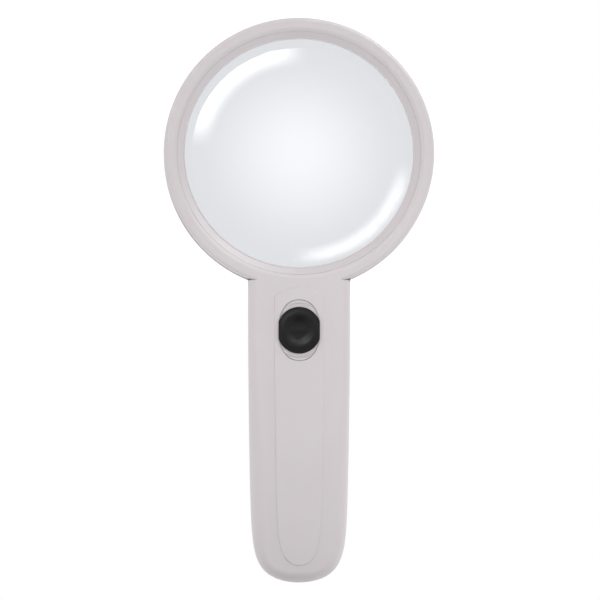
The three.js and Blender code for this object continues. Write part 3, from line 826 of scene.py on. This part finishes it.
def rounded_plate(x0, x1, y0, y1, h0, h1, corner=0.8):
    """A thin level plate with rounded corners."""
    loops = []
    for h in (h0, h1):
        loop = []
        left, right, front, back = x0 + corner, x1 - corner, y0 + corner, y1 - corner
        for cx, cy, start in ((right, back, 0), (left, back, 90), (left, front, 180), (right, front, 270)):
            loop += [(x, y, h) for x, y in arc(cx, cy, corner, start, start + 90, 6)]
        loops.append(loop)
    return loft("plate", loops)


TOP_PLATE = (BAY_TOP_H - 0.7, BAY_TOP_H - 0.3)
CELL_HIGH_H = CELL_LOW_H + CELL_BODY + CELL_BUTTON


def top_contact(x):
    front = BAY_WALL_FRONT_Y - 1.4
    plate = rounded_plate(x - 5, x + 5, front, 6, *TOP_PLATE, corner=0.39)
    return combine(plate, [block(x - 2.5, x + 2.5, front, front + 0.4, TOP_PLATE[0], 73)], "UNION")


def contact_positive():
    return combine(top_contact(-CELL_X), [cone_pip(-CELL_X, TOP_PLATE[0] + 0.2, CELL_HIGH_H + 0.3)], "UNION")


def contact_negative():
    return combine(
        top_contact(CELL_X), [conical_spring(CELL_X, TOP_PLATE[0] + 0.1, CELL_HIGH_H + 0.6)], "UNION"
    )


def bridge_contact():
    h0 = BAY_LOW_H + 0.3
    plate = rounded_plate(-12.5, 12.5, -4, 5, h0, h0 + 0.4)
    spring = conical_spring(-CELL_X, h0 + 0.3, CELL_LOW_H - 0.6)
    return combine(plate, [spring, cone_pip(CELL_X, h0 + 0.2, CELL_LOW_H - 0.3)], "UNION")


def finish_mesh(obj, angle=30):
    """Smooth shading with sharp edges kept, and shading normals that follow the larger faces."""
    for face in obj.data.polygons:
        face.use_smooth = True
    obj.data.set_sharp_from_angle(angle=math.radians(angle))
    step = obj.modifiers.new("weighted", "WEIGHTED_NORMAL")
    step.keep_sharp = True
    step.weight = 80
    apply_modifiers(obj)
    return obj


# ---- Materials ----


class Look:
    """A material being built: its nodes, its links and its shader."""

    def __init__(self, name, **sockets):
        self.material = bpy.data.materials.new(name)
        self.material.use_nodes = True
        self.nodes = self.material.node_tree.nodes
        self.links = self.material.node_tree.links
        self.shader = self.nodes["Principled BSDF"]
        for socket, value in sockets.items():
            self.shader.inputs[socket.replace("_", " ")].default_value = value
        self.place = self.nodes.new("ShaderNodeTexCoord").outputs["Object"]

    def noise(self, scale, detail=3.0, roughness=0.5, stretch=None):
        node = self.nodes.new("ShaderNodeTexNoise")
        node.inputs["Scale"].default_value = scale
        node.inputs["Detail"].default_value = detail
        node.inputs["Roughness"].default_value = roughness
        source = self.place
        if stretch:
            mapping = self.nodes.new("ShaderNodeMapping")
            mapping.inputs["Scale"].default_value = stretch
            self.links.new(source, mapping.inputs["Vector"])
            source = mapping.outputs["Vector"]
        self.links.new(source, node.inputs["Vector"])
        return node.outputs["Fac"]

    def tones(self, factor, low, high):
        ramp = self.nodes.new("ShaderNodeValToRGB")
        ramp.color_ramp.elements[0].position = 0.3
        ramp.color_ramp.elements[0].color = (*low, 1)
        ramp.color_ramp.elements[1].position = 0.7
        ramp.color_ramp.elements[1].color = (*high, 1)
        self.links.new(factor, ramp.inputs["Fac"])
        self.links.new(ramp.outputs["Color"], self.shader.inputs["Base Color"])

    def vary(self, factor, socket, low, high):
        node = self.nodes.new("ShaderNodeMapRange")
        node.inputs["From Min"].default_value = 0.3
        node.inputs["From Max"].default_value = 0.7
        node.inputs["To Min"].default_value = low
        node.inputs["To Max"].default_value = high
        self.links.new(factor, node.inputs["Value"])
        self.links.new(node.outputs["Result"], self.shader.inputs[socket])

    def bump(self, height, distance):
        node = self.nodes.new("ShaderNodeBump")
        node.inputs["Strength"].default_value = 1.0
        node.inputs["Distance"].default_value = distance
        self.links.new(height, node.inputs["Height"])
        self.links.new(node.outputs["Normal"], self.shader.inputs["Normal"])


def moulded(name, low, high, rough, **sockets):
    """Moulded plastic: a fine spark-eroded grain, with its tone and gloss drifting slowly over the piece."""
    look = Look(name, **sockets)
    drift = look.noise(55, 2)
    look.tones(drift, low, high)
    look.vary(look.noise(140, 4), "Roughness", *rough)
    look.bump(look.noise(3200, 2, 0.6), 0.000004)
    return look.material


def metal(name, low, high, rough, stretch=(1, 1, 1)):
    """Plated or brushed metal: fine streaks in its gloss and its surface."""
    look = Look(name, Metallic=1.0)
    look.tones(look.noise(400, 3), low, high)
    streaks = look.noise(1500, 4, 0.7, stretch)
    look.vary(streaks, "Roughness", *rough)
    look.bump(streaks, 0.000004)
    return look.material


def clear(name, low, high, ior, rough=(0.0, 0.0)):
    look = Look(name, IOR=ior, Transmission_Weight=1.0)
    look.tones(look.noise(30, 1), low, high)
    look.vary(look.noise(220, 3), "Roughness", *rough)
    return look.material


def sleeve_look():
    """A cell's plain glossy sleeve: two bands of colour and the shrink film's slight unevenness."""
    look = Look("cell_sleeve_film", Coat_Weight=0.6, Coat_Roughness=0.12)
    split = look.nodes.new("ShaderNodeSeparateXYZ")
    look.links.new(look.place, split.inputs["Vector"])
    bands = look.nodes.new("ShaderNodeMapRange")
    bands.inputs["From Min"].default_value = TIP_Z + 0.046
    bands.inputs["From Max"].default_value = TIP_Z + 0.0465
    look.links.new(split.outputs["Z"], bands.inputs["Value"])
    look.tones(bands.outputs["Result"], (0.02, 0.05, 0.11), (0.30, 0.31, 0.32))
    look.vary(look.noise(300, 3), "Roughness", 0.25, 0.38)
    look.bump(look.noise(900, 3), 0.00001)
    return look.material


def board_look():
    """Solder mask: green, with darker tracks under it and a fine orange-peel surface."""
    look = Look("board_mask", Coat_Weight=0.3, Coat_Roughness=0.2)
    tracks = look.noise(900, 1, 0.4, (1, 1, 0.25))
    look.tones(tracks, (0.010, 0.075, 0.030), (0.018, 0.12, 0.05))
    look.vary(look.noise(500, 3), "Roughness", 0.35, 0.5)
    look.bump(tracks, 0.00001)
    return look.material


shell_plastic = moulded("shell_plastic", (0.640, 0.598, 0.611), (0.652, 0.610, 0.623), (0.38, 0.46))
knob_plastic = moulded(
    "knob_plastic", (0.006, 0.0055, 0.006), (0.008, 0.0075, 0.008), (0.34, 0.42), Specular_IOR_Level=0.32
)
acetal = moulded("acetal", (0.62, 0.61, 0.57), (0.66, 0.65, 0.61), (0.35, 0.45), Subsurface_Weight=0.1)
lever_plastic = moulded("lever_plastic", (0.012, 0.012, 0.013), (0.02, 0.02, 0.021), (0.4, 0.5))
lens_glass = clear("lens_glass", (0.752, 0.768, 0.793), (0.756, 0.772, 0.797), 1.49)
window_plastic = clear("window_plastic", (0.86, 0.88, 0.89), (0.9, 0.92, 0.93), 1.49, (0.12, 0.2))
led_epoxy = clear("led_epoxy", (0.95, 0.93, 0.80), (0.96, 0.94, 0.84), 1.5, (0.02, 0.06))
nickel = metal("nickel", (0.62, 0.60, 0.56), (0.72, 0.70, 0.66), (0.22, 0.38), (1, 1, 0.1))
zinc = metal("zinc", (0.52, 0.54, 0.57), (0.66, 0.68, 0.71), (0.25, 0.42))
tin = metal("tin", (0.55, 0.55, 0.54), (0.66, 0.66, 0.65), (0.3, 0.48), (0.1, 1, 1))
wire_looks = {
    "wire_positive": moulded("red_insulation", (0.32, 0.014, 0.012), (0.38, 0.02, 0.016), (0.4, 0.55)),
    "wire_negative": moulded("black_insulation", (0.012, 0.012, 0.012), (0.02, 0.02, 0.02), (0.4, 0.55)),
    "wire_switch": moulded("yellow_insulation", (0.62, 0.42, 0.04), (0.7, 0.48, 0.05), (0.4, 0.55)),
}
cell_film = sleeve_look()
board_mask = board_look()


def dress(obj, look):
    obj.data.materials.clear()
    obj.data.materials.append(look)


# ---- Pieces ----


def add_piece(name, obj, look, body, nodes, angle=30):
    """Finishes a new piece, and says what it rides on and which CAD nodes it stands for."""
    finish_mesh(obj, angle)
    dress(obj, look)
    obj.name = name
    obj.data.name = name
    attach(obj, body)
    if nodes:
        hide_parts(*nodes)
    return obj


add_piece("front_shell_skin", front_shell(), shell_plastic, "housing", ["front_shell"])
add_piece("rear_shell_skin", rear_shell(), shell_plastic, "housing", ["rear_shell"])
add_piece("battery_door_skin", battery_door(), shell_plastic, "door", ["battery_door"])
add_piece("lens_skin", lens(), lens_glass, "housing", ["lens"])
ring = retaining_ring()
add_piece("retaining_ring_skin", ring, shell_plastic, "housing", ["lens_retaining_ring"])
add_piece("light_window_skin", light_window(), window_plastic, "housing", ["light_window"])
add_piece("thumb_button", knob(), knob_plastic, "switch_slider", ["switch_knob"], 20)
for side, x in LED_XS.items():
    add_piece(f"led_{side}_skin", led(x), led_epoxy, "housing", [f"led_{side}"])
for level, h in SCREW_HS.items():
    for side, x in (("left", -SCREW_X), ("right", SCREW_X)):
        node = f"screw_{level}_{side}"
        add_piece(f"{node}_skin", screw(x, h), zinc, "housing", [node])
for side, x, flipped in (("left", -CELL_X, False), ("right", CELL_X, True)):
    node = f"battery_cell_{side}"
    add_piece(f"{node}_sleeve", cell_sleeve(x, flipped), cell_film, "housing", [node])
    add_piece(f"{node}_metal", cell_metal(x, flipped), nickel, "housing", [])
add_piece("contact_positive_skin", contact_positive(), nickel, "housing", ["contact_positive"])
add_piece("contact_negative_skin", contact_negative(), nickel, "housing", ["contact_negative"])
add_piece("bridge_contact_skin", bridge_contact(), nickel, "housing", ["bridge_contact"])

KEPT_NODES = {
    "slider_carriage": acetal,
    "slide_switch_body": tin,
    "slide_switch_lever": lever_plastic,
    "switch_board": board_mask,
    "led_board": board_mask,
    **wire_looks,
}
for name, look in KEPT_NODES.items():
    dress(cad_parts[name], look)

# ---- Stage ----

scene = bpy.context.scene
scene.view_settings.view_transform = "Standard"

CAMERA_DISTANCE = 0.75
CAMERA_YAW = -1.2
CAMERA_PITCH = -1.2
PICTURE_WIDTH = 223.0  # what the frame is wide at the target, in millimetres
TARGET = place(0.36, -8, 104.95)


def direction(azimuth, elevation):
    """A unit vector. Azimuth 0 is towards the front, 90 to the right."""
    a, e = math.radians(azimuth), math.radians(elevation)
    return Vector((math.sin(a) * math.cos(e), -math.cos(a) * math.cos(e), math.sin(e)))


CAMERA_AT = TARGET + direction(CAMERA_YAW, CAMERA_PITCH) * CAMERA_DISTANCE


def unseen_by(obj, *rays):
    """Hides an object from these kinds of ray."""
    for ray in rays:
        setattr(obj, f"visible_{ray}", False)


def aim(obj, location, target):
    obj.location = location
    obj.rotation_mode = "QUATERNION"
    obj.rotation_quaternion = (target - location).to_track_quat("-Z", "Y")


def add_camera():
    data = bpy.data.cameras.new("camera")
    data.sensor_width = 36
    data.lens = data.sensor_width * CAMERA_DISTANCE / (PICTURE_WIDTH * MM)
    camera = bpy.data.objects.new("camera", data)
    scene.collection.objects.link(camera)
    aim(camera, CAMERA_AT, TARGET)
    scene.camera = camera


def add_light(name, azimuth, elevation, distance, size, energy):
    data = bpy.data.lights.new(name, "AREA")
    data.energy = energy
    data.size = size
    light = bpy.data.objects.new(name, data)
    scene.collection.objects.link(light)
    middle = place(0, 0, 66)
    aim(light, middle + direction(azimuth, elevation) * distance, middle)
    unseen_by(light, "camera", "glossy", "transmission")


def ramp_of(tree, factor, stops):
    """A grey ramp with its stops as (position from -1 to 1, brightness), brightness up to 1."""
    spread = tree.nodes.new("ShaderNodeMapRange")
    spread.inputs["From Min"].default_value = -1
    spread.inputs["From Max"].default_value = 1
    tree.links.new(factor, spread.inputs["Value"])
    ramp = tree.nodes.new("ShaderNodeValToRGB")
    ramp.color_ramp.interpolation = "EASE"
    elements = ramp.color_ramp.elements
    while len(elements) < len(stops):
        elements.new(0.5)
    for element, (position, value) in zip(elements, stops):
        element.position = (position + 1) / 2
        element.color = (value, value, value, 1)
    tree.links.new(spread.outputs["Result"], ramp.inputs["Fac"])
    return ramp.outputs["Color"]


def worked_out(tree, operation, *values):
    """A math node's result. Each value is a socket or a number."""
    node = tree.nodes.new("ShaderNodeMath")
    node.operation = operation
    for value, socket in zip(values, node.inputs):
        if isinstance(value, float):
            socket.default_value = value
        else:
            tree.links.new(value, socket)
    return node.outputs["Value"]


def product(tree, a, b):
    return worked_out(tree, "MULTIPLY", a, b)


def unit_vector(tree, vector):
    node = tree.nodes.new("ShaderNodeVectorMath")
    node.operation = "NORMALIZE"
    tree.links.new(vector, node.inputs[0])
    return node.outputs["Vector"]


def fall_off(tree, angle, inner, outer, high, low):
    """High up to the inner angle, then smoothly down to low at the outer. Both are in degrees."""
    node = tree.nodes.new("ShaderNodeMapRange")
    node.interpolation_type = "SMOOTHSTEP"
    node.inputs["From Min"].default_value = math.radians(inner)
    node.inputs["From Max"].default_value = math.radians(outer)
    node.inputs["To Min"].default_value = high
    node.inputs["To Max"].default_value = low
    tree.links.new(angle, node.inputs["Value"])
    return node.outputs["Result"]


def add_world():
    """Soft studio light by direction: bright behind, fair in front, darker at the sides and below."""
    world = bpy.data.worlds.new("studio")
    scene.world = world
    world.use_nodes = True
    tree = world.node_tree
    coords = tree.nodes.new("ShaderNodeTexCoord")
    split = tree.nodes.new("ShaderNodeSeparateXYZ")
    tree.links.new(coords.outputs["Generated"], split.inputs["Vector"])
    x, y, z = (split.outputs[axis] for axis in "XYZ")
    depth = ramp_of(tree, y, [(-1, 0.5), (-0.6, 0.6), (-0.3, 0.7), (-0.08, 0.96), (0.5, 1.0)])
    height = ramp_of(tree, z, [(-1, 0.8), (-0.35, 0.82), (0, 0.92), (0.35, 0.97), (0.9, 1.0)])
    side = ramp_of(tree, x, [(-1, 1.0), (0, 0.9), (1, 1.0)])
    behind = ramp_of(tree, y, [(-1, 0.0), (-0.3, 0.0), (-0.06, 1.0), (1, 1.0)])
    light = product(tree, product(tree, depth, worked_out(tree, "MAXIMUM", height, behind)), side)
    strength = product(tree, light, WORLD_STRENGTH)
    shader = tree.nodes["Background"]
    shader.inputs["Color"].default_value = (1, 1, 1, 1)
    tree.links.new(strength, shader.inputs["Strength"])


def emitter(name, strength, clear=False):
    """A stage material that only emits. Its strength is a number, or built from the object's coordinates.

    A clear one adds its light to what is behind it.
    """
    made = bpy.data.materials.new(name)
    made.use_nodes = True
    tree = made.node_tree
    tree.nodes.remove(tree.nodes["Principled BSDF"])
    shader = tree.nodes.new("ShaderNodeEmission")
    if callable(strength):
        coords = tree.nodes.new("ShaderNodeTexCoord")
        tree.links.new(strength(tree, coords.outputs["Object"]), shader.inputs["Strength"])
    else:
        shader.inputs["Strength"].default_value = strength
    light = shader.outputs["Emission"]
    if clear:
        both = tree.nodes.new("ShaderNodeAddShader")
        through = tree.nodes.new("ShaderNodeBsdfTransparent")
        tree.links.new(light, both.inputs[0])
        tree.links.new(through.outputs["BSDF"], both.inputs[1])
        light = both.outputs["Shader"]
    tree.links.new(light, tree.nodes["Material Output"].inputs["Surface"])
    return made


def stage_shape(name, operator, **sizes):
    """A mesh from one of Blender's basic shapes."""
    mesh = bpy.data.meshes.new(name)
    work = bmesh.new()
    operator(work, **sizes)
    work.to_mesh(mesh)
    work.free()
    return mesh


def add_stage_mesh(name, mesh, look, location):
    obj = bpy.data.objects.new(name, mesh)
    obj.location = location
    mesh.materials.append(look)
    scene.collection.objects.link(obj)
    return obj


THROUGH_LENS = (place(0, LENS_MID_Y, HEAD_H) - CAMERA_AT).normalized()
BACKDROP_R = 3.0
BACKDROP_EDGE = 1.005
BACKDROP_PEAK = 1.27
BACKDROP_SPREAD = 8.1  # degrees round its brightest point over which the backdrop falls off
WORLD_STRENGTH = 1.22


def backdrop_strength(tree, place_socket):
    """Brightest straight behind the lens as the camera sees it, falling off to an even white."""
    share = tree.nodes.new("ShaderNodeVectorMath")
    share.operation = "DOT_PRODUCT"
    tree.links.new(unit_vector(tree, place_socket), share.inputs[0])
    share.inputs[1].default_value = THROUGH_LENS
    angle = worked_out(tree, "ARCCOSINE", share.outputs["Value"])
    return fall_off(tree, angle, 0, BACKDROP_SPREAD, BACKDROP_PEAK, BACKDROP_EDGE)


def add_backdrop():
    """A white shell round the whole set. It is only seen: the world and the lights do the lighting."""
    sphere = bmesh.ops.create_uvsphere
    mesh = stage_shape("backdrop", sphere, u_segments=96, v_segments=48, radius=BACKDROP_R)
    mesh.flip_normals()
    obj = add_stage_mesh("backdrop", mesh, emitter("backdrop", backdrop_strength), place(0, 0, HEAD_H))
    unseen_by(obj, "diffuse", "glossy", "shadow")


def add_arc_softbox(azimuth_in_picture, span, off_axis, width, strength):
    """A curved strip light, which the two faces of the lens mirror as two arcs.

    It runs round the line in which the lens, if it were flat, would mirror the camera.
    """
    distance = 0.9
    rows, columns = 12, 60
    centre = place(0, 0, HEAD_H)
    mirrored = Vector((THROUGH_LENS.x, -THROUGH_LENS.y, THROUGH_LENS.z))
    points = []
    for i in range(rows + 1):
        tilt = math.radians(off_axis + width * (i / rows - 0.5))
        for j in range(columns + 1):
            turn = math.radians(azimuth_in_picture + span * (j / columns - 0.5))
            ray = Vector((math.sin(tilt) * math.cos(turn), -math.cos(tilt), math.sin(tilt) * math.sin(turn)))
            points.append(ray * distance)
    faces = []
    for i in range(rows):
        for j in range(columns):
            a = i * (columns + 1) + j
            faces.append((a, a + 1, a + columns + 2, a + columns + 1))
    mesh = bpy.data.meshes.new("arc_softbox")
    mesh.from_pydata(points, [], faces)

    def strength_of(tree, place_socket):
        split = tree.nodes.new("ShaderNodeSeparateXYZ")
        tree.links.new(unit_vector(tree, place_socket), split.inputs["Vector"])
        tilt = worked_out(tree, "ARCCOSINE", product(tree, split.outputs["Y"], -1.0))
        turn = worked_out(tree, "ARCTAN2", split.outputs["Z"], split.outputs["X"])
        across_it = bell(tree, tilt, off_axis, 0, width / 2)
        along_it = bell(tree, turn, azimuth_in_picture, span * 0.26, span / 2)
        return product(tree, product(tree, across_it, along_it), strength)

    obj = add_stage_mesh("arc_softbox", mesh, emitter("arc_softbox", strength_of, clear=True), centre)
    obj.rotation_mode = "QUATERNION"
    obj.rotation_quaternion = Vector((0, -1, 0)).rotation_difference(mirrored)
    unseen_by(obj, "camera", "diffuse", "shadow")


def bell(tree, value, middle, inner, outer):
    """1 within inner of the middle angle, smoothly down to 0 at outer. Angles are in degrees."""
    shifted = worked_out(tree, "SUBTRACT", value, math.radians(middle))
    return fall_off(tree, worked_out(tree, "ABSOLUTE", shifted), inner, outer, 1, 0)


def add_floor():
    """A plain white floor, below where the battery door reaches when it is slid out."""
    mesh = stage_shape("floor", bmesh.ops.create_circle, cap_ends=True, segments=96, radius=1.6)
    obj = add_stage_mesh("floor", mesh, emitter("floor", BACKDROP_EDGE), (0, 0, TIP_Z - 0.07))
    unseen_by(obj, "diffuse", "glossy", "shadow")


def add_gloss_card(name, azimuth, elevation, strength):
    """A card in front of the thumb button, above or below. Only reflections show it.

    One with no strength is black: it keeps the world out of the button's reflections from there.
    """
    mesh = stage_shape(name, bmesh.ops.create_grid, x_segments=1, y_segments=1, size=0.15)
    button = place(0, PANEL_Y, KNOB_H)
    location = button + direction(azimuth, elevation) * 0.45
    obj = add_stage_mesh(name, mesh, emitter(name, strength), location)
    aim(obj, location, button)
    unseen_by(obj, "camera", "diffuse", "transmission", "shadow")


def add_flag():
    """A black card below and in front of the handle's tip, clear of the battery door when that is slid out.

    It keeps the light from below off the tip. The camera doesn't see it.
    """
    mesh = stage_shape("flag", bmesh.ops.create_circle, cap_ends=True, segments=64, radius=0.04)
    look = bpy.data.materials.new("flag")
    look.use_nodes = True
    look.node_tree.nodes["Principled BSDF"].inputs["Base Color"].default_value = (0.01, 0.01, 0.01, 1)
    obj = add_stage_mesh("flag", mesh, look, (-0.01, -0.05, TIP_Z - 0.03))
    unseen_by(obj, "camera", "transmission")


add_camera()
add_world()
add_backdrop()
add_floor()
add_flag()
add_arc_softbox(130, 92, 36.2, 12.5, 11.0)
add_gloss_card("upper_card", 60, 58, 4.5)
add_gloss_card("lower_card", 0, -60, 0.0)
add_light("key", 7, 6, 0.5, 0.2, 0.9)
